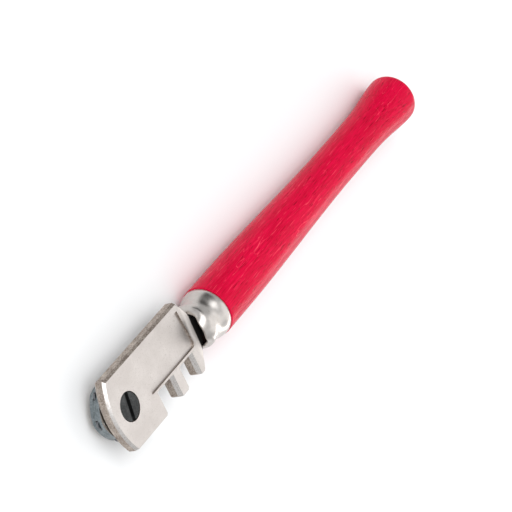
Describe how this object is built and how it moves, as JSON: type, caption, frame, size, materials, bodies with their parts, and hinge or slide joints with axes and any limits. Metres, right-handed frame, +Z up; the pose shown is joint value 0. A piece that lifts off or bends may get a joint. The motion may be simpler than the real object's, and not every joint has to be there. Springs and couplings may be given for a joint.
{
  "type": "glass cutter",
  "caption": "Hand glass cutter with a lacquered wooden handle, a plated notched head and an indexing turret of small cutting wheels.",
  "frame": {"origin": "middle of the tool in plan, on the surface that its handle lies on", "axes": "+X from the cutting wheel to the butt of the handle, +Y to the plain top edge of the head, +Z up, out of the face that holds the screw"},
  "size_m": [0.128, 0.0154, 0.0112],
  "materials": {
    "head_plate": "satin nickel plate on a zinc casting",
    "ferrule": "polished nickel plate",
    "handle_wood": "red stain under satin lacquer",
    "turret_zinc": "bright zinc plate",
    "screw_black": "black oxide",
    "wheel_steel": "ground hardened steel",
    "axle_steel": "ground steel pin"
  },
  "bodies": {
    "head": {"head_casting": "head_plate", "ferrule": "ferrule", "handle": "handle_wood"},
    "turret": {"turret": "turret_zinc", "axle_1": "axle_steel", "axle_2": "axle_steel", "axle_3": "axle_steel", "axle_4": "axle_steel", "axle_5": "axle_steel", "axle_6": "axle_steel"},
    "turret_screw": {"turret_screw": "screw_black"},
    "wheel_1": {"wheel_1": "wheel_steel"},
    "wheel_2": {"wheel_2": "wheel_steel"},
    "wheel_3": {"wheel_3": "wheel_steel"},
    "wheel_4": {"wheel_4": "wheel_steel"},
    "wheel_5": {"wheel_5": "wheel_steel"},
    "wheel_6": {"wheel_6": "wheel_steel"}
  },
  "joints": [
    {"name": "turret_index", "type": "hinge", "parent": "head", "child": "turret", "pos_m": [-0.05775, -0.00013, 0.00293], "axis": [0, 0, 1], "continuous": true},
    {"name": "screw_turn", "type": "hinge", "parent": "head", "child": "turret_screw", "pos_m": [-0.05775, -0.00013, 0.00688], "axis": [0, 0, 1], "range_deg": [0, 270]},
    {"name": "wheel_1_spin", "type": "hinge", "parent": "turret", "child": "wheel_1", "pos_m": [-0.06295, -0.00013, 0.00293], "axis": [0, 0, 1], "continuous": true},
    {"name": "wheel_2_spin", "type": "hinge", "parent": "turret", "child": "wheel_2", "pos_m": [-0.06035, 0.00438, 0.00293], "axis": [0, 0, 1], "continuous": true},
    {"name": "wheel_3_spin", "type": "hinge", "parent": "turret", "child": "wheel_3", "pos_m": [-0.05515, 0.00438, 0.00293], "axis": [0, 0, 1], "continuous": true},
    {"name": "wheel_4_spin", "type": "hinge", "parent": "turret", "child": "wheel_4", "pos_m": [-0.05255, -0.00013, 0.00293], "axis": [0, 0, 1], "continuous": true},
    {"name": "wheel_5_spin", "type": "hinge", "parent": "turret", "child": "wheel_5", "pos_m": [-0.05515, -0.00463, 0.00293], "axis": [0, 0, 1], "continuous": true},
    {"name": "wheel_6_spin", "type": "hinge", "parent": "turret", "child": "wheel_6", "pos_m": [-0.06035, -0.00463, 0.00293], "axis": [0, 0, 1], "continuous": true}
  ]
}
